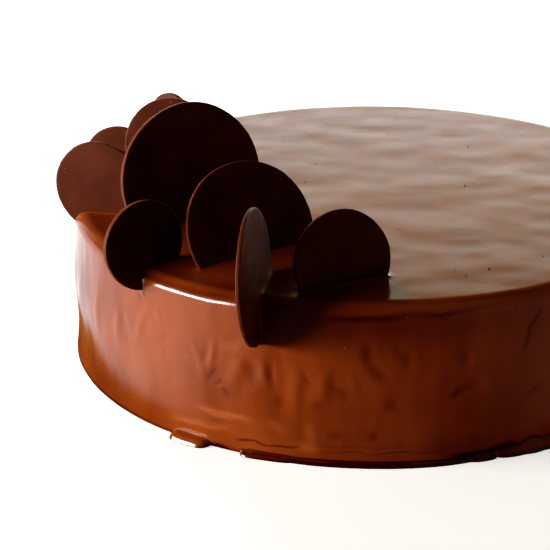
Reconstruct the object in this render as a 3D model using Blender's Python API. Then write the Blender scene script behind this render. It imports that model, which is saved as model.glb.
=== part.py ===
"""A round chocolate entremet under a poured glaze, with nine thin chocolate discs pushed into its rim.

Metres, +Z up. The origin is the middle of the flat base, and -Y is the side that faces the viewer.
The cake is one solid: an uncut round with a soft rim, a wall that the glaze thickens a little towards
the foot, and the low bead of glaze that ran down to it. Each disc is a solid of its own, and it stands
in a slot that is cut for it, with a small clearance all round.
"""
import math

import bmesh
import bpy
from mathutils import Matrix, Vector

# ---- driving dimensions -------------------------------------------------------------------------

RING_RADIUS = 0.100          # the 20 cm ring that the cake was set in
RING_HEIGHT = 0.050
GLAZE_ON_WALL = 0.001        # just under the rim
GLAZE_ON_TOP = 0.002
CAKE_RADIUS = RING_RADIUS + GLAZE_ON_WALL
CAKE_HEIGHT = RING_HEIGHT + GLAZE_ON_TOP

RIM_ROUNDING = 0.0045        # radius of the soft edge between the top and the wall
WALL_FLARE = 0.001           # the glaze is this much thicker at the foot, where it ran down
WALL_WAVE = 0.0005           # height of the soft vertical waves in the wall

BEAD_HEIGHT = 0.0026         # bead of glaze round the foot, where it is fullest
BEAD_REACH = 0.0024
BEAD_SHARE_MIN = 0.12        # the bead never thins out further than this share of its full size
BARE_FOOT_BEARING = 205.0    # the bead is thinnest here, on the viewer's left
BARE_FOOT_SPREAD = 26.0      # degrees to either side over which it comes back

GAP = 0.0003                 # clearance between a disc and its slot
CORNER_ALLOWANCE = 1.1       # the slot's outline is many-sided, so its corners stand this much further off
DISC_EDGE = 0.0003           # chamfer on a disc's two edges
DISC_WOBBLE = 0.02           # how far a disc's outline strays from a true circle, as a share

CAKE_SEGMENTS = 160
DISC_SEGMENTS = 64
FOOT_STEPS = 4
RIM_STEPS = 6
WALL_SHARES = (0.03, 0.14, 0.28, 0.42, 0.56, 0.7, 0.85)  # shares of the wall's height above the bead

# One row for each disc, in millimetres and degrees. x and y place the middle of its front face, and
# rise is that point's height over the cake's top. facing is where the front face looks, measured
# from the viewer towards the right, and lean is how far the disc leans back. phase picks where its
# outline bulges, in radians.
#   name      radius  thickness      x      y   rise  facing  lean  phase
DISCS = (
    ("disc_1", 24.8, 1.8, -58.2, -29.7, 14.0, 33.5, 11.0, 2.2),
    ("disc_2", 21.9, 1.6, -37.5, -58.9, 7.3, 33.0, 22.0, 3.15),
    ("disc_3", 15.9, 1.6, -8.7, -83.3, 6.5, 26.0, 9.5, 4.4),
    ("disc_4", 13.9, 1.8, -69.5, -70.5, 6.4, 39.0, 6.0, 6.0),
    ("disc_5", 20.8, 1.3, -34.0, -94.8, 5.9, 81.0, 4.0, 2.2),
    ("disc_6", 15.2, 1.6, -89.5, -24.6, 8.9, -10.0, 1.0, 3.8),
    ("disc_7", 13.2, 1.6, -87.9, 16.1, 3.5, -10.0, 0.0, 1.0),
    ("disc_8", 15.7, 1.8, -69.5, 7.0, 13.5, -6.0, 8.0, 5.2),
    ("disc_9", 13.0, 1.6, -73.1, 48.6, 6.0, -46.0, 0.0, 0.4),
)
MM = 0.001

# ---- materials ----------------------------------------------------------------------------------

GLAZE_COLOUR = (0.105, 0.024, 0.009)
DISC_COLOUR = (0.022, 0.005, 0.003)


def make_material(name, colour, roughness):
    """A plain Principled material for one kind of chocolate."""
    material = bpy.data.materials.new(name)
    material.use_nodes = True
    shader = material.node_tree.nodes["Principled BSDF"]
    shader.inputs["Base Color"].default_value = (*colour, 1.0)
    shader.inputs["Roughness"].default_value = roughness
    shader.inputs["Metallic"].default_value = 0.0
    material.diffuse_color = (*colour, 1.0)
    return material


# ---- shared mesh helpers ------------------------------------------------------------------------

def clear_scene():
    """Start from an empty scene."""
    for item in list(bpy.data.objects):
        bpy.data.objects.remove(item, do_unlink=True)


def ring_of_vertices(mesh, points):
    """Add one closed ring of vertices."""
    return [mesh.verts.new(point) for point in points]


def loft(mesh, rings):
    """Join the rings, lowest first, and close both ends with a face."""
    count = len(rings[0])
    for low, high in zip(rings, rings[1:]):
        for i in range(count):
            j = (i + 1) % count
            mesh.faces.new((low[i], low[j], high[j], high[i]))
    mesh.faces.new(list(reversed(rings[0])))
    mesh.faces.new(rings[-1])


def finish_mesh(mesh, name, material, sharp_degrees):
    """Turn a bmesh into an object that is shaded smooth up to the given edge angle."""
    bmesh.ops.recalc_face_normals(mesh, faces=mesh.faces)
    data = bpy.data.meshes.new(name)
    mesh.to_mesh(data)
    mesh.free()
    data.shade_smooth()
    data.set_sharp_from_angle(angle=math.radians(sharp_degrees))
    if material is not None:
        data.materials.append(material)
    item = bpy.data.objects.new(name, data)
    bpy.context.scene.collection.objects.link(item)
    return item


# ---- the cake -----------------------------------------------------------------------------------

def smooth_step(value):
    """Rise from 0 to 1 without a kink as the value goes from 0 to 1."""
    value = min(max(value, 0.0), 1.0)
    return value * value * (3.0 - 2.0 * value)


def wall_wave(bearing):
    """The glaze hangs on the wall in soft vertical waves, -1 to 1."""
    slow = 0.5 * math.sin(3 * bearing + 0.7) + 0.2 * math.sin(7 * bearing + 2.1)
    quick = 0.2 * math.sin(13 * bearing + 4.0) + 0.1 * math.sin(29 * bearing + 1.3)
    return slow + quick


def bead_share(bearing):
    """How full the foot bead is at a bearing, 0 to 1."""
    away = math.degrees(bearing) - BARE_FOOT_BEARING
    away = abs((away + 180.0) % 360.0 - 180.0)
    present = smooth_step((away - 0.5 * BARE_FOOT_SPREAD) / BARE_FOOT_SPREAD)
    lumps = 0.66 + 0.2 * math.sin(5 * bearing + 1.0) + 0.14 * math.sin(11 * bearing + 2.6)
    return max(BEAD_SHARE_MIN, present * lumps)


def wall_radius(bearing, height):
    """Radius of the glazed wall at a bearing and height."""
    rise = height / (CAKE_HEIGHT - RIM_ROUNDING)
    settle = math.sin(math.pi * min(max(rise, 0.0), 1.0))
    return CAKE_RADIUS + WALL_FLARE * (1.0 - rise) + WALL_WAVE * wall_wave(bearing) * settle


def foot_profile(bearing):
    """Radius and height pairs for the foot bead at a bearing, lowest first."""
    share = bead_share(bearing)
    height = BEAD_HEIGHT * share
    reach = BEAD_REACH * share
    inner = wall_radius(bearing, height)
    points = []
    for i in range(FOOT_STEPS + 1):
        angle = math.pi * (-0.35 + 0.85 * i / FOOT_STEPS)
        rise = 0.5 * height * (1.0 + math.sin(angle))
        points.append((inner - 0.3 * reach + 1.3 * reach * math.cos(angle), rise))
    lowest = points[0][1]
    return [(radius, height * (z - lowest) / (points[-1][1] - lowest)) for radius, z in points]


def wall_profile(bearing):
    """Radius and height pairs for the wall above the bead, lowest first."""
    start = BEAD_HEIGHT
    stop = CAKE_HEIGHT - RIM_ROUNDING
    heights = [start + (stop - start) * share for share in WALL_SHARES]
    return [(wall_radius(bearing, height), height) for height in heights]


def rim_profile():
    """Radius and height pairs for the soft rim, from the wall to the flat top."""
    points = []
    for i in range(RIM_STEPS + 1):
        angle = 0.5 * math.pi * i / RIM_STEPS
        radius = CAKE_RADIUS - RIM_ROUNDING * (1.0 - math.cos(angle))
        points.append((radius, CAKE_HEIGHT - RIM_ROUNDING * (1.0 - math.sin(angle))))
    return points


def make_cake(material):
    """The glazed round, from its flat base to its flat top."""
    bearings = [2.0 * math.pi * i / CAKE_SEGMENTS for i in range(CAKE_SEGMENTS)]
    profiles = [foot_profile(b) + wall_profile(b) + rim_profile() for b in bearings]
    mesh = bmesh.new()
    rings = []
    for row in range(len(profiles[0])):
        points = []
        for bearing, profile in zip(bearings, profiles):
            radius, height = profile[row]
            points.append((radius * math.cos(bearing), radius * math.sin(bearing), height))
        rings.append(ring_of_vertices(mesh, points))
    loft(mesh, rings)
    return finish_mesh(mesh, "cake", material, 40.0)


# ---- the discs ----------------------------------------------------------------------------------

def disc_outline(radius, phase):
    """A circle that strays a little, as a hand-cut disc does."""
    points = []
    for i in range(DISC_SEGMENTS):
        angle = 2.0 * math.pi * i / DISC_SEGMENTS
        stray = 0.55 * math.sin(2 * angle + phase) + 0.3 * math.sin(3 * angle + 2.0 * phase)
        stray += 0.15 * math.sin(5 * angle + 3.0 * phase)
        reach = radius * (1.0 + DISC_WOBBLE * stray)
        points.append((reach * math.cos(angle), reach * math.sin(angle)))
    return points


def add_plate(mesh, outline, radius, half, chamfer, placing):
    """One round plate, half the thickness to either side of its own XY plane, then placed."""
    inset = 1.0 - chamfer / radius
    levels = [(inset, -half), (1.0, -half + chamfer), (1.0, half - chamfer), (inset, half)]
    if chamfer == 0.0:
        levels = [(1.0, -half), (1.0, half)]
    rings = []
    for scale, z in levels:
        points = [placing @ Vector((x * scale, y * scale, z)) for x, y in outline]
        rings.append(ring_of_vertices(mesh, points))
    loft(mesh, rings)


def disc_placing(thickness, x, y, rise, facing, lean):
    """Where a disc's middle stands and how it is turned, as a matrix."""
    turn = Matrix.Rotation(math.radians(facing), 4, "Z")
    stand = Matrix.Rotation(math.radians(90.0 - lean), 4, "X")
    front = Vector((x * MM, y * MM, CAKE_HEIGHT + rise * MM))
    normal = (turn @ stand).to_3x3() @ Vector((0.0, 0.0, 1.0))
    return Matrix.Translation(front - normal * thickness * MM / 2.0) @ turn @ stand


def make_disc(row, material):
    """One thin chocolate disc, placed by its own location and rotation."""
    name, radius, thickness, *place, phase = row
    mesh = bmesh.new()
    outline = disc_outline(radius * MM, phase)
    add_plate(mesh, outline, radius * MM, thickness * MM / 2.0, DISC_EDGE, Matrix.Identity(4))
    item = finish_mesh(mesh, name, material, 30.0)
    item.matrix_world = disc_placing(thickness, *place)
    return item


def make_slots():
    """All the slots in one cutter: each is its disc, larger by the gap on every side."""
    mesh = bmesh.new()
    for row in DISCS:
        name, radius, thickness, *place, phase = row
        outer = radius * MM + GAP * CORNER_ALLOWANCE
        half = thickness * MM / 2.0 + GAP
        placing = disc_placing(thickness, *place)
        add_plate(mesh, disc_outline(outer, phase), outer, half, 0.0, placing)
    cutter = finish_mesh(mesh, "disc_slots", None, 30.0)
    cutter.hide_render = True
    cutter.display_type = "WIRE"
    return cutter


def cut(target, cutter):
    """Take the cutter out of the target with an exact Boolean."""
    modifier = target.modifiers.new("slots", "BOOLEAN")
    modifier.operation = "DIFFERENCE"
    modifier.solver = "EXACT"
    modifier.object = cutter


def main():
    """Build the cake and its discs."""
    clear_scene()
    glaze = make_material("chocolate_glaze", GLAZE_COLOUR, 0.16)
    couverture = make_material("dark_chocolate", DISC_COLOUR, 0.38)
    cake = make_cake(glaze)
    for row in DISCS:
        make_disc(row, couverture)
    cut(cake, make_slots())


main()
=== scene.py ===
import itertools
import math

import bmesh
import bpy
import numpy as np
from mathutils import Matrix, Vector


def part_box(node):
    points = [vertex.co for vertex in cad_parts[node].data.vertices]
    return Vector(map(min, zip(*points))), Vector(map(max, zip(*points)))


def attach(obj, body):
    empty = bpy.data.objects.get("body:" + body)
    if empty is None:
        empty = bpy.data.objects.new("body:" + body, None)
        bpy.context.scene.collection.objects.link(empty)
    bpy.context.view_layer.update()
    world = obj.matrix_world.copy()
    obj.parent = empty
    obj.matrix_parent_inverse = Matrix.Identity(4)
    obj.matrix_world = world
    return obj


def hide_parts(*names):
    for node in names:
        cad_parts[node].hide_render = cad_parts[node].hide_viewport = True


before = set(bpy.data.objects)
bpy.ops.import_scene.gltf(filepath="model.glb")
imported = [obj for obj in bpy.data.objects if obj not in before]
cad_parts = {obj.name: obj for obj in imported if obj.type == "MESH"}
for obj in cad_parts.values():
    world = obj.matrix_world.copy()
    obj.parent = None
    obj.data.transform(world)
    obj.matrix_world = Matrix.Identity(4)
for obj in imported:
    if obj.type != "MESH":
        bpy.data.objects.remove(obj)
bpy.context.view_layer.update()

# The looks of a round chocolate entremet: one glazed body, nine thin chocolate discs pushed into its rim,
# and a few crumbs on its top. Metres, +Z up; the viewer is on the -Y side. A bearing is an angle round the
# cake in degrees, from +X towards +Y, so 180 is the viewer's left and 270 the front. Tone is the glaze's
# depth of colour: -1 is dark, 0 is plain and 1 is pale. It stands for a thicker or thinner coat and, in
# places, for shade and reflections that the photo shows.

MM = 0.001
DISC_NAMES = sorted(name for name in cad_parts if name.startswith("disc_"))

# ---- sizes of the glazed body -------------------------------------------------------------------

CAKE_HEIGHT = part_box("cake")[1].z
WALL_RADIUS = 0.101                                  # just under the rim
WALL_FLARE = 0.001                                   # the glaze is this much thicker at the foot
RIM_ROUNDING = 0.0045
SHOULDER_HEIGHT = CAKE_HEIGHT - RIM_ROUNDING         # where the wall ends and the rim begins to round
FLAT_RADIUS = WALL_RADIUS - RIM_ROUNDING             # where the rim ends and the flat top begins

FINE_FROM, FINE_TO = 165.0, 315.0     # bearings between which the mesh is finer
FINE_STEP, COARSE_STEP = 0.5, 1.5     # degrees
FOOT_TOP = 0.005                      # the rows are closer together below this height
FOOT_ROWS, WALL_ROWS, RIM_ROWS = 16, 36, 11
TOP_FINE_RADIUS = 0.052               # the top's rows are closer together outside this radius
TOP_FINE_ROWS, TOP_COARSE_ROWS = 44, 18

# The slow waves of the wall and the top: height of the wave and its length, both in mm.
TOP_WAVES = ((0.135, 21.0), (0.085, 11.0), (0.010, 5.0))
TOP_STRETCH = 1.3                     # the top's waves are longer across the view than along it
WALL_WAVES = ((0.34, 25.0), (0.26, 11.0), (0.100, 5.2))
WALL_STRETCH = 2.2                    # the wall's waves are longer up and down than round the wall
WAVE_FOOT_FADE, WAVE_RIM_FADE = 0.006, 0.012         # the wall's waves grow over this way from foot and rim
WAVE_LEAST = 0.25                     # the share of them that is left at the foot and the rim

# The waves that the CAD wall has too: how many there are round the cake, share and phase.
ROUND_WAVE = 0.0005                   # their height
ROUND_WAVES = ((3, 0.5, 0.7), (7, 0.2, 2.1), (13, 0.2, 4.0), (29, 0.1, 1.3))

# The wall's outline on the viewer's left: pinched under the rim, fuller in the middle.
LEFT_BEARING, LEFT_SPREAD = 189.0, 22.0
LEFT_SWELL, LEFT_WAVELENGTH, LEFT_PEAK = 0.00062, 0.034, 0.0265

# Marks in the wall: bearing and height of each end, half width and depth in mm, and tone. A depth below
# zero is a ridge. The tone is painted light and reflection on the ridges, and on the dents both thicker
# glaze and painted shade.
MARKS = (
    # the V on the left of the front, with the short dark dents under it
    (237.9, 33.5, 239.9, 22.9, 1.10, -0.22, 0.22),
    (242.2, 35.6, 240.8, 26.4, 1.10, -0.26, 0.28),
    (240.8, 33.6, 240.2, 28.0, 1.00, 0.22, -0.16),
    (242.5, 27.2, 240.8, 22.4, 0.85, 0.05, -0.66),
    (243.5, 23.2, 243.1, 21.4, 0.55, 0.06, -0.40),
    (242.8, 20.7, 244.1, 21.1, 0.40, -0.06, 0.30),
    (243.9, 20.6, 245.0, 17.0, 0.85, 0.04, -0.50),
    (244.2, 34.3, 247.5, 35.5, 1.50, -0.20, 0.16),
    # soft upright lobes, light and dark in turn
    (247.0, 31.0, 245.2, 22.0, 2.20, -0.34, 0.13),
    (248.4, 31.5, 249.9, 24.0, 2.00, 0.36, -0.26),
    (251.0, 31.5, 252.4, 24.0, 1.40, -0.38, 0.28),
    (252.6, 31.4, 253.7, 24.0, 1.10, 0.26, -0.18),
    (253.7, 20.8, 255.1, 17.6, 1.60, 0.22, -0.28),
    (257.3, 31.5, 256.8, 16.7, 2.30, -0.38, 0.20),
    (258.8, 29.3, 260.3, 25.8, 0.60, 0.14, -0.24),
    (262.0, 30.5, 261.9, 21.0, 1.80, -0.32, 0.18),
    (263.7, 25.2, 266.2, 21.9, 1.20, 0.30, -0.42),
    (266.4, 28.6, 267.7, 24.0, 1.40, -0.18, 0.11),
    (260.3, 18.8, 262.5, 19.0, 1.00, 0.14, -0.20),
    # dark dents on the right
    (268.8, 39.8, 270.0, 33.0, 1.70, 0.40, -0.48),
    (270.0, 33.4, 272.6, 27.8, 1.50, 0.34, -0.44),
    (273.7, 39.7, 275.4, 34.6, 1.40, 0.20, -0.22),
    (275.7, 37.3, 276.7, 32.2, 1.50, 0.26, -0.36),
    (273.5, 22.6, 273.6, 18.0, 2.10, 0.26, -0.34),
    (283.6, 21.8, 284.9, 24.0, 1.00, 0.30, -0.46),
    (284.9, 24.0, 287.7, 25.0, 1.00, 0.30, -0.46),
    (285.6, 36.2, 285.6, 31.8, 1.40, 0.20, -0.28),
    (287.4, 35.0, 287.4, 30.6, 1.20, -0.18, 0.13),
    (289.9, 28.2, 290.0, 22.0, 2.00, -0.16, 0.13),
    (297.3, 19.1, 300.3, 20.9, 0.95, 0.30, -0.46),
    (299.7, 45.8, 297.8, 40.2, 0.70, 0.12, -0.60),
    (297.9, 40.8, 296.6, 33.2, 0.70, 0.12, -0.60),
    (295.0, 49.5, 295.0, 48.1, 0.60, 0.14, -0.55),
    # the groove under the rim
    (262.0, 48.2, 282.6, 48.8, 1.00, 0.20, -0.60),
    (279.0, 48.8, 291.5, 49.1, 0.85, 0.20, -0.55),
    # pale upright streaks on the left, which are painted light, a faint bow between them, and a dent under
    # disc_4, painted dark as disc_4's shadow
    (210.4, 38.0, 209.5, 20.0, 2.20, -0.26, 0.15),
    (218.3, 34.0, 217.4, 23.5, 1.90, -0.28, 0.20),
    (220.2, 33.5, 220.8, 24.5, 1.50, 0.14, -0.07),
    (227.1, 41.0, 223.1, 26.5, 1.70, -0.22, 0.13),
    (229.0, 40.8, 230.5, 35.3, 0.95, -0.18, 0.19),
    (225.0, 24.2, 227.6, 28.9, 1.00, 0.09, -0.08),
    (227.4, 28.8, 230.9, 30.4, 1.00, 0.09, -0.08),
    (230.7, 30.2, 232.6, 34.4, 1.00, 0.09, -0.08),
    (224.7, 46.4, 225.3, 42.0, 1.00, 0.12, -0.55),
    # near the foot: pale streaks that are painted reflection, and dark spots and thin wrinkles in painted
    # shade
    (239.4, 12.5, 249.4, 11.2, 0.80, -0.14, 0.90),
    (233.4, 5.4, 244.8, 7.3, 0.90, -0.12, 0.60),
    (252.3, 12.6, 255.2, 9.4, 1.60, -0.12, 0.36),
    (260.0, 12.8, 260.2, 6.8, 1.60, -0.18, 0.28),
    (262.6, 9.2, 265.2, 10.2, 1.10, 0.16, -0.32),
    (269.6, 10.1, 271.5, 10.0, 1.50, 0.20, -0.38),
    (257.4, 5.2, 261.4, 4.9, 1.50, -0.10, 0.40),
    (241.6, 0.7, 244.6, 0.7, 0.90, 0.08, -1.00),
    (246.6, 4.2, 250.3, 4.8, 0.36, 0.07, -0.80),
    (250.0, 4.8, 252.2, 3.8, 0.36, 0.07, -0.80),
    (252.0, 3.8, 257.6, 4.9, 0.36, 0.07, -0.80),
    (260.5, 5.6, 278.5, 6.1, 0.35, 0.10, -0.16),
    (263.5, 3.8, 283.0, 4.5, 0.35, 0.10, -0.20),
    # the deep shade between the wall and the lumps of the foot
    (283.5, 1.9, 290.5, 2.4, 1.00, 0.20, -1.00),
    (289.5, 2.6, 295.5, 4.2, 1.10, 0.20, -1.00),
)
MARK_WANDER, MARK_WANDER_LENGTH = 0.0009, 0.0075      # no mark is quite straight
# On one side each mark has a low shoulder that goes the other way: its share of the mark's depth, and
# how far it is from the mark's middle, in half widths.
MARK_SHOULDER, MARK_SHOULDER_PLACE = 0.45, 1.5

# Pools of glaze round the foot: bearing of each end, height, how far they reach out at each end in mm,
# how square they are (2 is a round bead), and tone.
POOLS = (
    (233.1, 241.2, 2.3, 4.0, 3.7, 6, 0.0),
    (247.2, 257.0, 1.1, 2.5, 1.6, 8, -0.45),
    (252.0, 288.0, 0.95, 1.5, 1.4, 4, -0.62),
    (287.0, 292.0, 1.5, 1.4, 1.4, 2, -0.70),
    (292.2, 298.4, 2.7, 1.5, 1.9, 2, -0.66),
    (295.6, 301.8, 4.0, 1.9, 2.3, 2, -0.62),
    (299.4, 306.0, 3.2, 2.3, 1.8, 2, -0.58),
)
SHOWN_FOOT_FROM, SHOWN_FOOT_TO = POOLS[0][0] - 2.0, POOLS[-1][1] + 1.0

# The pools that don't show, one at each step round the back, each drawn from these ranges. Shift and
# spread, which is half a pool's length, are shares of the step. Height and reach are in mm.
HIDDEN_POOLS_FROM, HIDDEN_POOLS_TO, HIDDEN_POOL_STEP = 308.0, 524.0, 6.1
HIDDEN_POOL_SHIFT, HIDDEN_POOL_SPREAD = (-0.5, 0.5), (0.25, 1.1)
HIDDEN_POOL_HEIGHT, HIDDEN_POOL_REACH = (0.5, 3.2), (0.7, 2.4)
HIDDEN_POOL_SQUARE, HIDDEN_POOL_TONE = 2, (-0.6, -0.2)
HIDDEN_POOL_SEED = 11

FACE_SLOPE = 0.46                     # how much a pool's face leans back
# The crease is pressed in and also painted dark in tone, as shade.
CREASE_DEPTH, CREASE_WIDTH = 0.0003, 0.00040          # between the pools and the wall
# The crease starts at this bearing and deepens over these degrees: the first pool has none.
CREASE_FROM, CREASE_RISE = 246.0, 2.0

# Wide patches that the photo shows darker or paler, in part by shade and reflections: bearing, spread in
# degrees, height, spread in mm, and tone.
SHADES = (
    (200.0, 15.0, 34.0, 22.0, -0.50),
    (251.0, 9.0, 4.0, 4.0, 0.16),
    (214.0, 14.0, 5.0, 9.0, -0.42),
    (285.0, 9.0, 5.0, 4.0, -0.30),
    (271.0, 18.0, 45.5, 6.5, -0.52),
)
# The dark line along the very foot is painted shade: its height and tone.
FOOT_LINE, FOOT_LINE_TONE = 0.0009, -0.7              # the dark line along the very foot
# The same on the top, in front of the discs, where the tone is the discs' painted shade: place and spread
# along x and y in mm, and tone.
TOP_SHADES = (
    (-44.0, -89.0, 17.0, 8.0, -0.30),
    (-18.0, -90.0, 16.0, 6.0, -0.30),
)

# On the viewer's left the rim has sagged a little. Its tone is darker there, a painted shade that holds back
# how bright it looks, most of all where the rim faces up by the level given here, from 0 on the wall to 1 on
# the top.
SAG_BEARING, SAG_SPREAD = 231.0, 24.0
RIM_SAG, SAG_REACH, SAG_DROP = 0.0013, 0.010, 0.012
SAG_TONE, SAG_TONE_LEVEL, SAG_TONE_WIDTH = -0.62, 0.62, 0.20

# Where a disc goes in, the glaze climbs it a little.
MENISCUS_RISE, MENISCUS_REACH = 0.00042, 0.0006

REFINE_BANDS = (0.0020, 0.0009)       # the mesh is split once more within each of these distances of a disc
REFINE_MARKS = 0.75                   # and once along marks up to this half width, in mm,
REFINE_MARK_SIDES = 2.0               # this many half widths to each side
REFINE_MARK_ENDS = 1.4                # and this far along, where 1 is the mark's end

# ---- camera, in the frame's metres ---------------------------------------------------------------

CAMERA_DISTANCE = 0.663726            # from the middle of the cake's top
CAMERA_ELEVATION = 19.4193
CAMERA_YAW, CAMERA_PITCH, CAMERA_ROLL = -3.0713, -2.4787, -0.5634
CAMERA_LENS, CAMERA_SENSOR = 128.06, 36.0
CAMERA_CLIP = (0.01, 20.0)


# ---- helpers ------------------------------------------------------------------------------------

NOISE_TABLE = 256
NOISE_GAIN = 1.6                      # brings the noise to about -1 to 1


def make_noise(seed):
    """Smooth repeatable noise, about -1 to 1, at any array of points."""
    draw = np.random.default_rng(seed)
    order = draw.permutation(NOISE_TABLE)
    slopes = draw.normal(size=(NOISE_TABLE, 3))
    slopes /= np.linalg.norm(slopes, axis=1, keepdims=True)

    def noise(points):
        cell = np.floor(points).astype(int)
        part = points - cell
        ease = part ** 3 * (part * (part * 6.0 - 15.0) + 10.0)
        total = np.zeros(len(points))
        for corner in itertools.product((0, 1), repeat=3):
            pick = order[(cell[:, 0] + corner[0]) % NOISE_TABLE]
            pick = order[(pick + cell[:, 1] + corner[1]) % NOISE_TABLE]
            pick = order[(pick + cell[:, 2] + corner[2]) % NOISE_TABLE]
            slope = ((part - corner) * slopes[pick]).sum(axis=1)
            weight = np.where(corner, ease, 1.0 - ease).prod(axis=1)
            total += weight * slope
        return NOISE_GAIN * total

    return noise


def smooth_step(value):
    """Rise from 0 to 1 without a kink as the value goes from 0 to 1."""
    value = np.clip(value, 0.0, 1.0)
    return value * value * (3.0 - 2.0 * value)


def bearing_of(points):
    """The bearing of each point, 0 to 360 degrees."""
    return np.degrees(np.arctan2(points[:, 1], points[:, 0])) % 360.0


def radius_of(points):
    """How far each point is from the Z axis."""
    return np.hypot(points[:, 0], points[:, 1])


def bearing_gap(bearing, other):
    """How far a bearing is from another one, in degrees, -180 to 180."""
    return (bearing - other + 180.0) % 360.0 - 180.0


def layered(points, waves, noises):
    """Sum of noise layers, each with its own height and length in mm."""
    total = np.zeros(len(points))
    for (height, length), noise in zip(waves, noises):
        total += height * MM * noise(points / (length * MM))
    return total


def coordinates(vertices):
    """The places of mesh vertices, as an array."""
    return np.array([vertex.co for vertex in vertices], float)


def linked_piece(name, data, material):
    """A smooth-shaded object of a mesh."""
    data.shade_smooth()
    data.materials.append(material)
    item = bpy.data.objects.new(name, data)
    bpy.context.scene.collection.objects.link(item)
    return item


def mesh_piece(name, vertices, faces, material):
    """An object of these vertices and faces."""
    data = bpy.data.meshes.new(name)
    data.from_pydata(vertices, [], faces)
    return linked_piece(name, data, material)


def bmesh_piece(name, mesh, material):
    """An object of a bmesh, which is used up."""
    data = bpy.data.meshes.new(name)
    mesh.to_mesh(data)
    mesh.free()
    return linked_piece(name, data, material)


def keep_value(item, name, values):
    """Keep one number for each vertex, for the material to read."""
    attribute = item.data.attributes.new(name, "FLOAT", "POINT")
    attribute.data.foreach_set("value", values.astype(np.float32))


# ---- where the discs are, read from the frame ------------------------------------------------------

CENTRE_ROUNDS = 3                     # how often a disc's middle and axes are worked out again
SAME_PLACE_DECIMALS = 7               # vertices that agree to this many decimals are one
FACE_TOLERANCE = 0.0001               # nearer than this to a face's height, a vertex is on the face


def read_disc(node):
    """A disc's middle, its axes (across, up, out of the front face), half thickness and outline."""
    co = coordinates(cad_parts[node].data.vertices)
    co = np.unique(co.round(SAME_PLACE_DECIMALS), axis=0)
    centre = (co.min(axis=0) + co.max(axis=0)) / 2.0
    for _ in range(CENTRE_ROUNDS):
        thin = np.linalg.svd(co - centre, full_matrices=False)[2][2]
        out = thin if thin[1] < 0.0 else -thin
        up = np.array((0.0, 0.0, 1.0)) - out * out[2]
        up /= np.linalg.norm(up)
        axes = np.stack((np.cross(up, out), up, out))
        turned = (co - centre) @ axes.T
        shift = (turned.min(axis=0) + turned.max(axis=0)) / 2.0
        centre = centre + shift @ axes
    turned = (co - centre) @ axes.T
    half = turned[:, 2].max()
    edge = turned[np.abs(turned[:, 2]) < half - FACE_TOLERANCE]
    angle = np.arctan2(edge[:, 1], edge[:, 0])
    order = np.argsort(angle)
    return {
        "centre": centre,
        "axes": axes,
        "half": half,
        "angles": angle[order],
        "radii": radius_of(edge)[order],
    }


def outline_at(disc, angle):
    """The disc's radius at an angle round its own middle."""
    return np.interp(angle, disc["angles"], disc["radii"], period=2.0 * math.pi)


def distance_to(disc, points):
    """How far points are from the disc's solid."""
    local = (points - disc["centre"]) @ disc["axes"].T
    reach = outline_at(disc, np.arctan2(local[:, 1], local[:, 0]))
    outside = np.maximum(radius_of(local) - reach, 0.0)
    above = np.maximum(np.abs(local[:, 2]) - disc["half"], 0.0)
    return np.hypot(outside, above)


discs = {name: read_disc(name) for name in DISC_NAMES}


def nearest_disc(points):
    """Distance from each point to the nearest disc."""
    return np.min([distance_to(disc, points) for disc in discs.values()], axis=0)


# ---- the glazed body ------------------------------------------------------------------------------

TINY = 1e-9                           # keeps a division away from zero
ON_PLANE = 1e-6                       # nearer than this to the base or the axis, a point is on it

top_noises = [make_noise(seed) for seed in (1, 2, 3)]
wall_noises = [make_noise(seed) for seed in (4, 5, 6)]
wander_noises = [make_noise(seed) for seed in (7, 8)]


def body_bearings():
    """Bearings of the body's columns, in degrees."""
    fine = np.arange(FINE_FROM, FINE_TO, FINE_STEP)
    coarse = np.arange(FINE_TO, FINE_FROM + 360.0, COARSE_STEP)
    return np.concatenate((fine, coarse))


def wall_radius(height):
    """Radius of the plain wall at a height."""
    return WALL_RADIUS + WALL_FLARE * (1.0 - height / SHOULDER_HEIGHT)


def body_profile():
    """Radius and height of the body's rows, from the foot over the rim to the middle of the top."""
    heights = np.concatenate((
        np.linspace(0.0, FOOT_TOP, FOOT_ROWS, endpoint=False),
        np.linspace(FOOT_TOP, SHOULDER_HEIGHT, WALL_ROWS, endpoint=False),
    ))
    rows = [(wall_radius(height), height) for height in heights]
    for angle in np.linspace(0.0, math.pi / 2.0, RIM_ROWS, endpoint=False):
        out, up = RIM_ROUNDING * math.cos(angle), RIM_ROUNDING * math.sin(angle)
        rows.append((FLAT_RADIUS + out, SHOULDER_HEIGHT + up))
    for radius in np.linspace(FLAT_RADIUS, TOP_FINE_RADIUS, TOP_FINE_ROWS, endpoint=False):
        rows.append((radius, CAKE_HEIGHT))
    for radius in np.linspace(TOP_FINE_RADIUS, 0.0, TOP_COARSE_ROWS, endpoint=False):
        rows.append((radius, CAKE_HEIGHT))
    return rows


def plain_body():
    """The body without its waves, as a bmesh: a closed round with a fan at the top and the bottom."""
    turns = np.radians(body_bearings())
    columns = len(turns)
    mesh = bmesh.new()
    rings = []
    for radius, height in body_profile():
        rings.append([mesh.verts.new((radius * math.cos(t), radius * math.sin(t), height)) for t in turns])
    for low, high in zip(rings, rings[1:]):
        for i in range(columns):
            j = (i + 1) % columns
            mesh.faces.new((low[i], low[j], high[j], high[i]))
    bottom = mesh.verts.new((0.0, 0.0, 0.0))
    top = mesh.verts.new((0.0, 0.0, CAKE_HEIGHT))
    for i in range(columns):
        j = (i + 1) % columns
        mesh.faces.new((rings[0][j], rings[0][i], bottom))
        mesh.faces.new((rings[-1][i], rings[-1][j], top))
    return mesh


def refine(mesh):
    """Finer faces near the discs, on the shown foot and along the narrow marks."""
    for band in REFINE_BANDS:
        split_where(mesh, lambda points: nearest_disc(points) < band)
    split_where(mesh, on_shown_foot)
    split_where(mesh, near_fine_mark)


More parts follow.
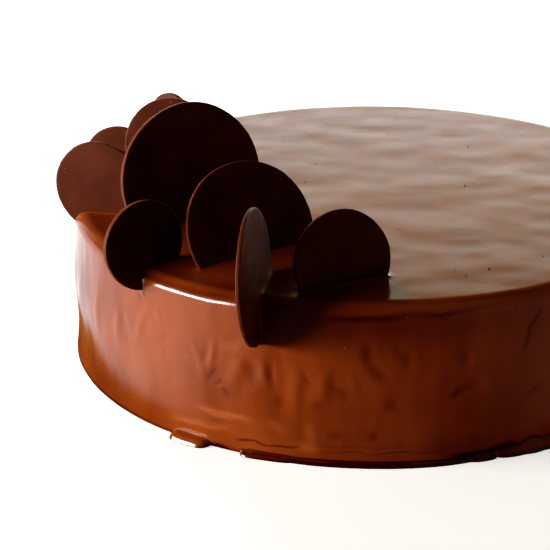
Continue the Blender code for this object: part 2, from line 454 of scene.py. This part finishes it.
def near_fine_mark(points):
    """Which points lie on or beside a narrow mark."""
    bearing = bearing_of(points)
    near = np.zeros(len(points), bool)
    for mark in MARKS:
        half_width = mark[4]
        if half_width <= REFINE_MARKS:
            middle, side = along_mark(bearing, points[:, 2], mark)
            reach = REFINE_MARK_SIDES * half_width * MM + MARK_WANDER
            near |= (np.abs(middle) < REFINE_MARK_ENDS) & (np.abs(side) < reach)
    return near & (radius_of(points) > FLAT_RADIUS)


def on_shown_foot(points):
    """Which points lie low on the wall where it faces the viewer."""
    bearing = bearing_of(points)
    shown = (bearing > SHOWN_FOOT_FROM) & (bearing < SHOWN_FOOT_TO)
    return shown & (points[:, 2] < FOOT_TOP) & (radius_of(points) > WALL_RADIUS)


def split_where(mesh, choose):
    """Split the faces at the vertices that a rule chooses."""
    mesh.verts.ensure_lookup_table()
    mesh.verts.index_update()
    chosen = choose(coordinates(mesh.verts))
    edges = [e for e in mesh.edges if chosen[e.verts[0].index] or chosen[e.verts[1].index]]
    bmesh.ops.subdivide_edges(mesh, edges=edges, cuts=1, use_grid_fill=True)


def surface_normals(points):
    """Which way the plain body faces at its own points, from the rule of its profile."""
    radius = radius_of(points)
    outward = points[:, :2] / np.maximum(radius, TINY)[:, None]
    out = np.maximum(radius - FLAT_RADIUS, 0.0)
    up = np.maximum(points[:, 2] - SHOULDER_HEIGHT, 0.0)
    size = np.maximum(np.hypot(out, up), TINY)
    out, up = out / size, up / size
    return np.column_stack((outward * out[:, None], up))


def along_mark(bearing, height, mark):
    """Where points lie along a mark (-1 to 1 between its ends) and beside its line, in metres."""
    from_bearing, from_height, to_bearing, to_height = mark[:4]
    arc = math.radians(bearing_gap(to_bearing, from_bearing)) * WALL_RADIUS
    along = np.array((arc, (to_height - from_height) * MM))
    length = np.linalg.norm(along)
    along = along / length
    start = np.array((0.0, from_height * MM))
    place = np.column_stack((np.radians(bearing_gap(bearing, from_bearing)) * WALL_RADIUS, height)) - start
    travel = place @ along
    side = place @ np.array((-along[1], along[0]))
    return (travel - length / 2.0) / (0.5 * length), side


def mark_at(bearing, height, mark):
    """How deep a mark presses the wall in at each point, and how it shifts the glaze's tone."""
    half_width, depth, tone = mark[4:]
    middle, side = along_mark(bearing, height, mark)
    width = half_width * MM
    line = np.exp(-(side / width) ** 2)
    shoulder = np.exp(-((side - MARK_SHOULDER_PLACE * width) / width) ** 2)
    fade = np.exp(-np.abs(middle) ** 3)
    return depth * MM * (line - MARK_SHOULDER * shoulder) * fade, tone * line * fade


def all_marks(points, bearing):
    """The depth and tone of all marks together at each point of the wall."""
    place = points / MARK_WANDER_LENGTH
    turned = bearing + np.degrees(MARK_WANDER / WALL_RADIUS) * wander_noises[0](place)
    height = points[:, 2] + MARK_WANDER * wander_noises[1](place)
    found = [mark_at(turned, height, mark) for mark in MARKS]
    return sum(depth for depth, _ in found), sum(tone for _, tone in found)


def all_pools():
    """The pools that show, and those that go on round the back by the same rule."""
    draw = np.random.default_rng(HIDDEN_POOL_SEED)
    pools = list(POOLS)
    for step in np.arange(HIDDEN_POOLS_FROM, HIDDEN_POOLS_TO, HIDDEN_POOL_STEP):
        bearing = (step + draw.uniform(*HIDDEN_POOL_SHIFT) * HIDDEN_POOL_STEP) % 360.0
        height = draw.uniform(*HIDDEN_POOL_HEIGHT)
        reach = draw.uniform(*HIDDEN_POOL_REACH)
        spread = HIDDEN_POOL_STEP * draw.uniform(*HIDDEN_POOL_SPREAD)
        tone = draw.uniform(*HIDDEN_POOL_TONE)
        pools.append((bearing - spread, bearing + spread, height, reach, reach, HIDDEN_POOL_SQUARE, tone))
    return pools


def foot_at(bearing, height):
    """How far the foot's pools stand out, less the crease above them, and how they shift the tone."""
    push, tone = np.zeros(len(bearing)), np.zeros(len(bearing))
    crown = np.zeros(len(bearing))
    for start, end, tall, from_reach, to_reach, square, shade in all_pools():
        along = bearing_gap(bearing, (start + end) / 2.0) / ((end - start) / 2.0)
        inside = np.sqrt(np.clip(1.0 - np.abs(along) ** square, 0.0, 1.0))
        top = tall * MM * inside
        reach = (from_reach + (to_reach - from_reach) * (along + 1.0) / 2.0) * MM * inside
        face = np.sqrt(np.clip(1.0 - (height / np.maximum(top, TINY)) ** square, 0.0, 1.0))
        bead = np.maximum(reach - FACE_SLOPE * height, 0.0) * face
        tone = np.where(bead > push, shade, tone)
        push = np.maximum(push, bead)
        crown = np.maximum(crown, top)
    # The crease darkens the tone as well: painted shade.
    crease = np.exp(-((height - crown - CREASE_WIDTH) / CREASE_WIDTH) ** 2)
    crease *= np.clip(crown / MM, 0.0, 1.0) * smooth_step(bearing_gap(bearing, CREASE_FROM) / CREASE_RISE)
    push -= CREASE_DEPTH * crease * (height > crown)
    return push, tone - crease


def round_wave(bearing):
    """The slow waves that go round the wall, about -1 to 1, at each bearing."""
    turn = np.radians(bearing)
    return sum(share * np.sin(count * turn + phase) for count, share, phase in ROUND_WAVES)


def wall_push(points, bearing):
    """How far the wall stands out from its plain form: waves, the left swell, marks and the pools."""
    height = points[:, 2]
    settle = np.sin(math.pi * np.clip(height / SHOULDER_HEIGHT, 0.0, 1.0))
    push = ROUND_WAVE * round_wave(bearing) * settle
    squeezed = points * (1.0, 1.0, 1.0 / WALL_STRETCH)
    fade = smooth_step(height / WAVE_FOOT_FADE) * smooth_step((CAKE_HEIGHT - height) / WAVE_RIM_FADE)
    push += layered(squeezed, WALL_WAVES, wall_noises) * (WAVE_LEAST + (1.0 - WAVE_LEAST) * fade)
    left = np.exp(-(bearing_gap(bearing, LEFT_BEARING) / LEFT_SPREAD) ** 2)
    push += LEFT_SWELL * left * np.cos(2.0 * math.pi * (height - LEFT_PEAK) / LEFT_WAVELENGTH)
    return push - all_marks(points, bearing)[0] + foot_at(bearing, height)[0]


def wall_tone(points, bearing):
    """The tone of the wall's glaze at each point, with its painted shade, light and reflection."""
    height = points[:, 2]
    tone = foot_at(bearing, height)[1] + FOOT_LINE_TONE * np.exp(-(height / FOOT_LINE) ** 2)
    tone += all_marks(points, bearing)[1]
    for middle, spread, level, reach, shade in SHADES:
        near = np.exp(-(bearing_gap(bearing, middle) / spread) ** 2)
        tone += shade * near * np.exp(-((height - level * MM) / (reach * MM)) ** 2)
    return np.clip(tone, -1.0, 1.0)


def top_push(points):
    """How far the top stands up from its flat form."""
    squeezed = points * (1.0 / TOP_STRETCH, 1.0, 1.0)
    return layered(squeezed, TOP_WAVES, top_noises)


def top_tone(points):
    """The tone of the top's glaze at each point, with the discs' painted shade."""
    tone = np.zeros(len(points))
    for x, y, wide, deep, shade in TOP_SHADES:
        away = ((points[:, 0] / MM - x) / wide) ** 2 + ((points[:, 1] / MM - y) / deep) ** 2
        tone += shade * np.exp(-away)
    return tone


def rim_sag(points, bearing):
    """Share of the rim's sag at each point: full at the rim, fading inwards and down the wall."""
    inward = np.maximum(FLAT_RADIUS - radius_of(points), 0.0)
    below = np.maximum(SHOULDER_HEIGHT - points[:, 2], 0.0)
    around = (bearing_gap(bearing, SAG_BEARING) / SAG_SPREAD) ** 2
    return np.exp(-around - (inward / SAG_REACH) ** 2 - (below / SAG_DROP) ** 2)


def make_body(material):
    """The glazed body, in one closed piece."""
    mesh = plain_body()
    refine(mesh)
    points = coordinates(mesh.verts)
    normals = surface_normals(points)
    bearing = bearing_of(points)
    upright = normals[:, 2]
    sag = rim_sag(points, bearing)
    push = top_push(points) * upright + wall_push(points, bearing) * (1.0 - upright)
    push += MENISCUS_RISE * np.exp(-nearest_disc(points) / MENISCUS_REACH)
    moved = points + normals * push[:, None]
    moved[:, 2] = np.maximum(moved[:, 2] - RIM_SAG * sag, 0.0)
    moved[points[:, 2] < ON_PLANE, 2] = 0.0
    moved[radius_of(points) < ON_PLANE, :2] = 0.0
    for vertex, place in zip(mesh.verts, moved):
        vertex.co = place
    item = bmesh_piece("glazed_body", mesh, material)
    tone = wall_tone(points, bearing) * (1.0 - upright) + top_tone(points) * upright
    tone += SAG_TONE * sag * np.exp(-((upright - SAG_TONE_LEVEL) / SAG_TONE_WIDTH) ** 2)
    keep_value(item, "glaze_tone", tone)
    return item


# ---- the discs ------------------------------------------------------------------------------------

DISC_COLUMNS = 192
DISC_FACE_ROWS = 14
DISC_CORNER = 0.00035          # softness of the corner between a face and the cut edge
DISC_CORNER_ROWS = 4
DISC_EDGE_ROWS = 3
DISC_WARP, DISC_WARP_LENGTH = 0.00016, 0.019
DISC_RIPPLE, DISC_RIPPLE_LENGTH = 0.00002, 0.004
EDGE_ROUGH, EDGE_ROUGH_LENGTH = 0.00009, 0.0016
DISC_SEED, EDGE_SEED_STEP = 20, 50     # seed of the first disc's face, and how far off its edge's seed is


def disc_section(half):
    """Rows of a disc's section, from the front's middle round to the back's.

    Each row has its share of the outline's radius, how far it stands out from there, its height over the
    disc's middle plane, and how much of it is cut edge.
    """
    rows = []
    corner = DISC_CORNER
    for share in np.linspace(0.0, 1.0, DISC_FACE_ROWS, endpoint=False)[1:]:
        rows.append((share, 0.0, half, 0.0))
    for angle in np.linspace(math.pi / 2.0, 0.0, DISC_CORNER_ROWS, endpoint=False):
        across, up = math.cos(angle), math.sin(angle)
        rows.append((1.0, corner * (across - 1.0), half - corner + corner * up, across))
    for height in np.linspace(half - corner, corner - half, DISC_EDGE_ROWS):
        rows.append((1.0, 0.0, height, 1.0))
    back = [(share, stand, -height, cut) for share, stand, height, cut in reversed(rows[:-DISC_EDGE_ROWS])]
    return rows + back


def disc_faces(rows):
    """Faces of a disc of this many rings of vertices, with its two middles last."""
    faces = []
    last = (rows - 1) * DISC_COLUMNS
    front, back = rows * DISC_COLUMNS, rows * DISC_COLUMNS + 1
    for i in range(DISC_COLUMNS):
        j = (i + 1) % DISC_COLUMNS
        for a in range(0, last, DISC_COLUMNS):
            b = a + DISC_COLUMNS
            faces.append((a + i, b + i, b + j, a + j))
        faces.append((front, i, j))
        faces.append((back, last + j, last + i))
    return faces


def make_disc(name, disc, seed, material):
    """One disc: slightly warped, with a rough cut edge and soft corners, in its CAD disc's place."""
    noise, rough = make_noise(seed), make_noise(seed + EDGE_SEED_STEP)
    angle = np.linspace(0.0, 2.0 * math.pi, DISC_COLUMNS, endpoint=False)
    outline = outline_at(disc, angle)
    rings, cut_share = [], []
    for share, stand, height, cut in disc_section(disc["half"]):
        reach = outline * share + stand
        level = np.full(DISC_COLUMNS, height)
        place = np.column_stack((reach * np.cos(angle), reach * np.sin(angle), level))
        ragged = EDGE_ROUGH * rough(place / EDGE_ROUGH_LENGTH) * cut
        place[:, :2] *= (1.0 + ragged / np.maximum(reach, MM))[:, None]
        rings.append(place)
        cut_share.append(np.full(DISC_COLUMNS, cut))
    middles = np.array([(0.0, 0.0, disc["half"]), (0.0, 0.0, -disc["half"])])
    vertices = np.concatenate(rings + [middles])
    flat = vertices * (1.0, 1.0, 0.0)
    vertices[:, 2] += DISC_WARP * noise(flat / DISC_WARP_LENGTH)
    vertices[:, 2] += DISC_RIPPLE * noise(vertices / DISC_RIPPLE_LENGTH)
    world = vertices @ disc["axes"] + disc["centre"]
    item = mesh_piece(name, world, disc_faces(len(rings)), material)
    keep_value(item, "cut_edge", np.concatenate(cut_share + [np.zeros(len(middles))]))
    return item


# ---- crumbs ---------------------------------------------------------------------------------------

# The few crumbs on the top that can be told apart: place and size in mm.
CRUMBS = (
    (35.4, -71.1, 0.55),
    (28.2, -77.0, 0.40),
    (25.0, -72.2, 0.36),
    (52.5, -60.0, 0.32),
    (8.0, -38.0, 0.34),
)
HIDDEN_CRUMBS = 7                                     # more of them, on the far half of the top
HIDDEN_CRUMB_REACH, HIDDEN_CRUMB_SIZE = (20.0, 85.0), (0.25, 0.45)
CRUMB_DETAIL = 2
CRUMB_STRETCH = (0.7, 1.3)
CRUMB_LUMPS, CRUMB_LUMP_LENGTH = 0.3, 0.0002
CRUMB_RISE = 0.2                                      # of its size, from the glaze to its middle
CRUMB_SEED, CRUMB_NOISE_SEED, CRUMB_NOISE_SPAN = 31, 32, 50.0


def make_crumbs(material):
    """Chocolate crumbs on the top: uneven lumps, each sunk a little into the glaze."""
    draw = np.random.default_rng(CRUMB_SEED)
    places = list(CRUMBS)
    for _ in range(HIDDEN_CRUMBS):
        turn = draw.uniform(0.0, math.pi)
        reach = draw.uniform(*HIDDEN_CRUMB_REACH)
        places.append((reach * math.cos(turn), reach * math.sin(turn), draw.uniform(*HIDDEN_CRUMB_SIZE)))
    mesh = bmesh.new()
    noise = make_noise(CRUMB_NOISE_SEED)
    for x, y, size in places:
        lump = bmesh.ops.create_icosphere(mesh, subdivisions=CRUMB_DETAIL, radius=size * MM / 2.0)["verts"]
        stretch = draw.uniform(*CRUMB_STRETCH, size=3)
        noise_place = draw.uniform(0.0, CRUMB_NOISE_SPAN, size=3)
        co = coordinates(lump)
        lumpy = 1.0 + CRUMB_LUMPS * noise(co / CRUMB_LUMP_LENGTH + noise_place)
        top = np.array(((x * MM, y * MM, CAKE_HEIGHT),))
        rise = top_push(top)[0] + CRUMB_RISE * size * MM
        for vertex, place in zip(lump, co * stretch * lumpy[:, None] + top + (0.0, 0.0, rise)):
            vertex.co = place
    return bmesh_piece("crumbs", mesh, material)


# ---- shader nodes -----------------------------------------------------------------------------------

class Nodes:
    """A short way to add and join shader nodes."""

    def __init__(self, tree):
        self.tree = tree

    def add(self, kind, settings=None, **inputs):
        """A new node, with its settings and inputs; an underscore in an input's name is a space."""
        node = self.tree.nodes.new(kind)
        for key, value in (settings or {}).items():
            setattr(node, key, value)
        for key, value in inputs.items():
            self.put(node, key.replace("_", " "), value)
        return node

    def put(self, node, key, value):
        """Set one input, named or numbered, to a number or to another node's output."""
        socket = node.inputs[int(key)] if key.isdigit() else node.inputs[key]
        if isinstance(value, bpy.types.NodeSocket):
            self.tree.links.new(value, socket)
        else:
            socket.default_value = value


def new_material(name):
    """A node material with a Principled shader, and the helper that adds to it."""
    material = bpy.data.materials.new(name)
    material.use_nodes = True
    nodes = Nodes(material.node_tree)
    return material, nodes, material.node_tree.nodes["Principled BSDF"]


def noise_at(nodes, coordinate, scale, detail, stretch=(1.0, 1.0, 1.0)):
    """A noise texture's value in object space; scale is in repeats a metre."""
    mapping = nodes.add("ShaderNodeMapping", Vector=coordinate, Scale=stretch)
    texture = nodes.add("ShaderNodeTexNoise", Vector=mapping.outputs[0], Scale=scale, Detail=detail)
    return texture.outputs[0]


def ranged(nodes, value, span, to=(0.0, 1.0)):
    """The value, mapped from one range to another and held inside that."""
    node = nodes.add("ShaderNodeMapRange", {"clamp": True}, Value=value, From_Min=span[0], From_Max=span[1],
                     To_Min=to[0], To_Max=to[1])
    return node.outputs[0]


def combined(nodes, operation, first, second):
    """Two values put together by a Math node."""
    node = nodes.add("ShaderNodeMath", {"operation": operation})
    nodes.put(node, "0", first)
    nodes.put(node, "1", second)
    return node.outputs[0]


def mixed(nodes, share, first, second):
    """A colour between two colours, from the Mix node's colour sockets."""
    node = nodes.add("ShaderNodeMix", {"data_type": "RGBA"})
    nodes.put(node, "0", share)
    for socket, colour in (("6", first), ("7", second)):
        nodes.put(node, socket, colour if isinstance(colour, bpy.types.NodeSocket) else (*colour, 1.0))
    return node.outputs[2]


def bumped(nodes, height, distance, normal=None):
    """A normal that is tilted by a height in metres."""
    node = nodes.add("ShaderNodeBump", Height=height, Distance=distance, Strength=1.0)
    if normal is not None:
        nodes.put(node, "Normal", normal)
    return node.outputs[0]


# ---- materials --------------------------------------------------------------------------------------

CHOCOLATE_IOR = 1.45
# Pale specks of dust lie where a fine noise is highest, in this part of its range.
DUST = (0.42, 0.26, 0.18)
DUST_SPAN = (0.84, 0.88)

GLAZE_DEEP = (0.158, 0.0295, 0.0060)
GLAZE_LIGHT = (0.216, 0.0445, 0.0104)
# Tone -1 is thick glaze together with painted shade; tone 1 is thin glaze together with painted light and
# reflection.
GLAZE_THICK_AND_SHADE = (0.026, 0.0010, 0.0005)     # at tone -1
GLAZE_THIN_AND_LIGHT = (0.340, 0.0880, 0.0280)      # at tone 1
GLAZE_DUST = (0.0, 0.30)
GLAZE_ROUGHNESS = (0.13, 0.20)
GLAZE_SOFT_BUMP, GLAZE_FINE_BUMP = 0.000015, 0.000005
# Repeats of the glaze's noises in a metre.
GLAZE_CLOUDS, GLAZE_SPECKS, GLAZE_HAZE = 75.0, 1700.0, 120.0
GLAZE_SOFT_RELIEF, GLAZE_FINE_RELIEF = 260.0, 1300.0
CLOUD_STRETCH = (1.0, 1.0, 0.45)          # the clouds are longer up and down


def glaze_material():
    """Poured chocolate glaze: glossy, a little uneven in tone and in how it mirrors."""
    material, nodes, shader = new_material("chocolate_glaze")
    place = nodes.add("ShaderNodeTexCoord").outputs["Object"]
    clouds = ranged(nodes, noise_at(nodes, place, GLAZE_CLOUDS, 4.0, CLOUD_STRETCH), (0.32, 0.68))
    colour = mixed(nodes, clouds, GLAZE_DEEP, GLAZE_LIGHT)
    # The glaze_tone attribute darkens for thick glaze and painted shade, and pales for thin glaze and
    # painted light and reflection.
    tone = nodes.add("ShaderNodeAttribute", {"attribute_name": "glaze_tone"}).outputs["Fac"]
    colour = mixed(nodes, ranged(nodes, tone, (0.0, -1.0)), colour, GLAZE_THICK_AND_SHADE)
    colour = mixed(nodes, ranged(nodes, tone, (0.0, 1.0)), colour, GLAZE_THIN_AND_LIGHT)
    dust = ranged(nodes, noise_at(nodes, place, GLAZE_SPECKS, 0.0), DUST_SPAN, GLAZE_DUST)
    nodes.put(shader, "Base Color", mixed(nodes, dust, colour, DUST))
    gloss = ranged(nodes, noise_at(nodes, place, GLAZE_HAZE, 3.0), (0.35, 0.65), GLAZE_ROUGHNESS)
    nodes.put(shader, "Roughness", gloss)
    nodes.put(shader, "IOR", CHOCOLATE_IOR)
    soft = noise_at(nodes, place, GLAZE_SOFT_RELIEF, 2.0)
    fine = noise_at(nodes, place, GLAZE_FINE_RELIEF, 2.0)
    normal = bumped(nodes, soft, GLAZE_SOFT_BUMP)
    nodes.put(shader, "Normal", bumped(nodes, fine, GLAZE_FINE_BUMP, normal))
    return material


DISC_DARK = (0.060, 0.0125, 0.0055)
DISC_BLOOM = (0.086, 0.0200, 0.0090)
DISC_CUT = (0.102, 0.023, 0.0075)
DISC_DUST = (0.0, 0.4)
DISC_ROUGHNESS = (0.46, 0.58)
DISC_SPECULAR, DISC_SPECULAR_TINT = 0.14, (1.0, 0.86, 0.74, 1.0)
DISC_BUMP = 0.000012
CUT_WEAR = (0.45, 1.0)                    # how much of the cut edge's colour shows
CORNER_MIDDLE, CORNER_GLOSS = 0.5, 0.24   # the rounded corner is smoother, most of all at this cut share
# Repeats of the discs' noises in a metre.
DISC_CLOUDS, DISC_WEAR, DISC_SPECKS, DISC_HAZE, DISC_GRAIN = 90.0, 700.0, 1500.0, 160.0, 1500.0


def disc_material():
    """Set dark chocolate: satin faces with faint clouds and dust, a paler cut edge and smoother corners."""
    material, nodes, shader = new_material("dark_chocolate")
    place = nodes.add("ShaderNodeTexCoord").outputs["Object"]
    clouds = ranged(nodes, noise_at(nodes, place, DISC_CLOUDS, 4.0), (0.40, 0.70))
    face = mixed(nodes, clouds, DISC_DARK, DISC_BLOOM)
    dust = ranged(nodes, noise_at(nodes, place, DISC_SPECKS, 0.0), DUST_SPAN, DISC_DUST)
    face = mixed(nodes, dust, face, DUST)
    cut = nodes.add("ShaderNodeAttribute", {"attribute_name": "cut_edge"}).outputs["Fac"]
    wear = ranged(nodes, noise_at(nodes, place, DISC_WEAR, 3.0), (0.3, 0.6), CUT_WEAR)
    nodes.put(shader, "Base Color", mixed(nodes, combined(nodes, "MULTIPLY", cut, wear), face, DISC_CUT))
    gloss = ranged(nodes, noise_at(nodes, place, DISC_HAZE, 3.0), (0.3, 0.7), DISC_ROUGHNESS)
    corner = combined(nodes, "PINGPONG", cut, CORNER_MIDDLE)
    gloss = combined(nodes, "SUBTRACT", gloss, combined(nodes, "MULTIPLY", corner, CORNER_GLOSS))
    nodes.put(shader, "Roughness", gloss)
    nodes.put(shader, "IOR", CHOCOLATE_IOR)
    nodes.put(shader, "Specular IOR Level", DISC_SPECULAR)
    nodes.put(shader, "Specular Tint", DISC_SPECULAR_TINT)
    nodes.put(shader, "Normal", bumped(nodes, noise_at(nodes, place, DISC_GRAIN, 3.0), DISC_BUMP))
    return material


# ---- floor, light and camera ------------------------------------------------------------------------

FLOOR_SIZE = 8.0
FLOOR_COLOUR = (0.80, 0.80, 0.80)
FLOOR_ROUGHNESS, FLOOR_GLOW = 0.9, 0.52

# The studio round the cake, as radiance by bearing and elevation in degrees: a pale backdrop behind, which
# dims and warms with height, a bright low surround on the viewer's left, and little in front and on the
# right. Each side is full within the first spread from its bearing and gone beyond the second.
BACKDROP_BEARING, BACKDROP_FULL, BACKDROP_NONE = 85.0, 28.0, 62.0
BACKDROP_LOW, BACKDROP_LOW_LIGHT = 16.5, 2.15
BACKDROP_HIGH, BACKDROP_HIGH_LIGHT = 24.6, 0.42
BACKDROP_TOP = 34.0
BACKDROP_LOW_TINT, BACKDROP_HIGH_TINT = (0.98, 1.0, 0.96), (1.0, 0.78, 0.36)
LEFT_SIDE_BEARING, LEFT_SIDE_FULL, LEFT_SIDE_NONE = 160.0, 50.0, 88.0
LEFT_SIDE_LIGHT, LEFT_SIDE_LOW, LEFT_SIDE_TOP = 1.40, 4.0, 11.0
RIGHT_SIDE_BEARING, RIGHT_SIDE_FULL, RIGHT_SIDE_NONE = 340.0, 8.0, 60.0
RIGHT_SIDE_LIGHT = 0.23
SURROUND_LEAST = 0.04
SEEN_WHITE = 1.2                      # the background that the camera sees

# Close to the cake the floor looks dim and warm from its foot, a painted shade with a warm painted glow:
# radius and colour.
FOOT_SHADE = ((0.106, (0.07, 0.028, 0.003)), (0.113, (0.30, 0.15, 0.03)), (0.119, (1.0, 1.0, 1.0)))

# The darks are pressed together a little, as a bright picture with strong contrast has them.
TOE = 0.025
TOE_POINTS = (0.01, 0.025, 0.05, 0.1, 0.2, 0.4)


def share_towards(nodes, heading, bearing, full, none):
    """1 where a flat direction is within full degrees of a bearing, and 0 beyond none degrees."""
    turn = math.radians(bearing)
    dot = nodes.add("ShaderNodeVectorMath", {"operation": "DOT_PRODUCT"})
    nodes.put(dot, "0", heading)
    nodes.put(dot, "1", (math.cos(turn), math.sin(turn), 0.0))
    edge = nodes.add("ShaderNodeMapRange", {"clamp": True, "interpolation_type": "SMOOTHSTEP"})
    nodes.put(edge, "Value", dot.outputs["Value"])
    nodes.put(edge, "From Min", math.cos(math.radians(none)))
    nodes.put(edge, "From Max", math.cos(math.radians(full)))
    return edge.outputs[0]


def rise_span(low, high):
    """The heights of two elevations on a direction of length 1."""
    return math.sin(math.radians(low)), math.sin(math.radians(high))


def surround(nodes, place):
    """The studio's brightness and tint in a direction, and the direction's flat length."""
    flat = nodes.add("ShaderNodeVectorMath", {"operation": "MULTIPLY"})
    nodes.put(flat, "0", place)
    nodes.put(flat, "1", (1.0, 1.0, 0.0))
    reach = nodes.add("ShaderNodeVectorMath", {"operation": "LENGTH"})
    nodes.put(reach, "0", flat.outputs[0])
    heading = nodes.add("ShaderNodeVectorMath", {"operation": "NORMALIZE"})
    nodes.put(heading, "0", flat.outputs[0])
    heading = heading.outputs[0]
    rise = nodes.add("ShaderNodeSeparateXYZ", Vector=place).outputs["Z"]
    slope = rise_span(BACKDROP_LOW, BACKDROP_HIGH)
    fade = ranged(nodes, rise, slope, (BACKDROP_LOW_LIGHT, BACKDROP_HIGH_LIGHT))
    end = ranged(nodes, rise, rise_span(BACKDROP_HIGH, BACKDROP_TOP), (1.0, 0.0))
    behind = share_towards(nodes, heading, BACKDROP_BEARING, BACKDROP_FULL, BACKDROP_NONE)
    behind = combined(nodes, "MULTIPLY", behind, combined(nodes, "MULTIPLY", fade, end))
    left = share_towards(nodes, heading, LEFT_SIDE_BEARING, LEFT_SIDE_FULL, LEFT_SIDE_NONE)
    band = ranged(nodes, rise, rise_span(LEFT_SIDE_LOW, LEFT_SIDE_TOP), (LEFT_SIDE_LIGHT, SURROUND_LEAST))
    left = combined(nodes, "MULTIPLY", left, band)
    right = share_towards(nodes, heading, RIGHT_SIDE_BEARING, RIGHT_SIDE_FULL, RIGHT_SIDE_NONE)
    right = combined(nodes, "MULTIPLY", right, RIGHT_SIDE_LIGHT)
    total = SURROUND_LEAST
    for side in (behind, left, right):
        total = combined(nodes, "MAXIMUM", side, total)
    tint = mixed(nodes, ranged(nodes, rise, slope), BACKDROP_LOW_TINT, BACKDROP_HIGH_TINT)
    return total, tint, reach.outputs["Value"]


def floor_material():
    """A plain pale floor, which sends the cake the same studio light as round it, painted dim and warm near
    it.
    """
    material, nodes, shader = new_material("pale_floor")
    nodes.put(shader, "Base Color", (*FLOOR_COLOUR, 1.0))
    nodes.put(shader, "Roughness", FLOOR_ROUGHNESS)
    nodes.put(shader, "Specular IOR Level", 0.0)
    nodes.put(shader, "Emission Color", (1.0, 1.0, 1.0, 1.0))
    nodes.put(shader, "Emission Strength", FLOOR_GLOW)
    light, _, reach = surround(nodes, nodes.add("ShaderNodeTexCoord").outputs["Object"])
    (near, shade), *rings = FOOT_SHADE
    for far, colour in rings:
        shade = mixed(nodes, ranged(nodes, reach, (near, far)), shade, colour)
        near = far
    bounce = nodes.add("ShaderNodeEmission", Color=shade, Strength=light)
    pick = nodes.add("ShaderNodeMixShader", Fac=nodes.add("ShaderNodeLightPath").outputs["Is Camera Ray"])
    nodes.put(pick, "1", bounce.outputs[0])
    nodes.put(pick, "2", shader.outputs[0])
    nodes.put(material.node_tree.nodes["Material Output"], "Surface", pick.outputs[0])
    return material


def make_floor():
    """The floor, level with the cake's flat base."""
    side = FLOOR_SIZE / 2.0
    corners = [(-side, -side, 0.0), (side, -side, 0.0), (side, side, 0.0), (-side, side, 0.0)]
    floor = mesh_piece("floor", corners, [(0, 1, 2, 3)], floor_material())


def panel_light(name, bearing, elevation, distance, width, height, radiance, colour, aim_height):
    """A soft box that looks at a point on the cake's axis."""
    data = bpy.data.lights.new(name, "AREA")
    data.shape = "RECTANGLE"
    data.size, data.size_y = width, height
    data.energy = radiance * math.pi * width * height
    data.color = colour
    turn, rise = math.radians(bearing), math.radians(elevation)
    away = Vector((math.cos(turn) * math.cos(rise), math.sin(turn) * math.cos(rise), math.sin(rise)))
    light = bpy.data.objects.new(name, data)
    light.location = Vector((0.0, 0.0, aim_height)) + away * distance
    light.rotation_euler = (-away).to_track_quat("-Z", "Y").to_euler()
    light.visible_camera = False
    bpy.context.scene.collection.objects.link(light)
    return light


def make_lights():
    """A long low soft box on the left, whose image is the line along the rim, and two that give no gloss."""
    panel_light("key", bearing=200.0, elevation=9.0, distance=1.0, width=0.70, height=0.17,
                radiance=62.0, colour=(1.0, 0.97, 0.93), aim_height=0.045)
    back = panel_light("back", bearing=114.0, elevation=28.0, distance=1.2, width=0.6, height=0.4,
                       radiance=22.0, colour=(1.0, 0.98, 0.95), aim_height=0.045)
    fill = panel_light("fill", bearing=320.0, elevation=0.0, distance=0.26, width=0.38, height=0.03,
                       radiance=3.2, colour=(1.0, 0.74, 0.50), aim_height=0.027)
    for light in (back, fill):
        light.visible_glossy = False


def make_world():
    """The studio all round; the camera sees it plain white."""
    world = bpy.data.worlds.new("studio")
    bpy.context.scene.world = world
    world.use_nodes = True
    nodes = Nodes(world.node_tree)
    background = world.node_tree.nodes["Background"]
    light, tint, _ = surround(nodes, nodes.add("ShaderNodeTexCoord").outputs["Generated"])
    seen = nodes.add("ShaderNodeLightPath").outputs["Is Camera Ray"]
    pick = nodes.add("ShaderNodeMix", {"data_type": "FLOAT"})
    nodes.put(pick, "0", seen)
    nodes.put(pick, "2", light)
    nodes.put(pick, "3", SEEN_WHITE)
    nodes.put(background, "Strength", pick.outputs[0])
    nodes.put(background, "Color", mixed(nodes, seen, tint, (1.0, 1.0, 1.0)))


def set_view():
    """Show the light as it is, but with the darks pressed together."""
    view = bpy.context.scene.view_settings
    view.view_transform = "Standard"
    view.use_curve_mapping = True
    curve = view.curve_mapping.curves[3]
    curve.points[-1].location = (1.0, 1.0 / (1.0 + TOE))
    for level in TOE_POINTS:
        curve.points.new(level, level * level / (level + TOE))
    view.curve_mapping.update()


def make_camera():
    """The camera at the photo's angle."""
    rise = math.radians(CAMERA_ELEVATION)
    back = CAMERA_DISTANCE * math.cos(rise)
    place = Vector((0.0, -back, CAKE_HEIGHT + CAMERA_DISTANCE * math.sin(rise)))
    yaw = math.radians(CAMERA_YAW)
    down = math.radians(CAMERA_PITCH) - rise
    forward = Vector((math.sin(yaw) * math.cos(down), math.cos(yaw) * math.cos(down), math.sin(down)))
    right = forward.cross(Vector((0.0, 0.0, 1.0))).normalized()
    up = right.cross(forward)
    turned = Matrix((right, up, -forward)).transposed().to_4x4()
    roll = Matrix.Rotation(math.radians(CAMERA_ROLL), 4, "Z")
    data = bpy.data.cameras.new("camera")
    data.lens, data.sensor_width = CAMERA_LENS, CAMERA_SENSOR
    data.clip_start, data.clip_end = CAMERA_CLIP
    camera = bpy.data.objects.new("camera", data)
    bpy.context.scene.collection.objects.link(camera)
    camera.matrix_world = Matrix.Translation(place) @ turned @ roll
    bpy.context.scene.camera = camera


# ---- put together -----------------------------------------------------------------------------------

glaze = glaze_material()
body = make_body(glaze)
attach(body, "root")
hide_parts("cake")

chocolate = disc_material()
for number, disc_name in enumerate(DISC_NAMES):
    piece = make_disc(disc_name + "_chocolate", discs[disc_name], DISC_SEED + number, chocolate)
    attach(piece, "root")
    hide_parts(disc_name)

crumbs = make_crumbs(chocolate)
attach(crumbs, "root")

make_floor()
make_world()
make_lights()
make_camera()
set_view()
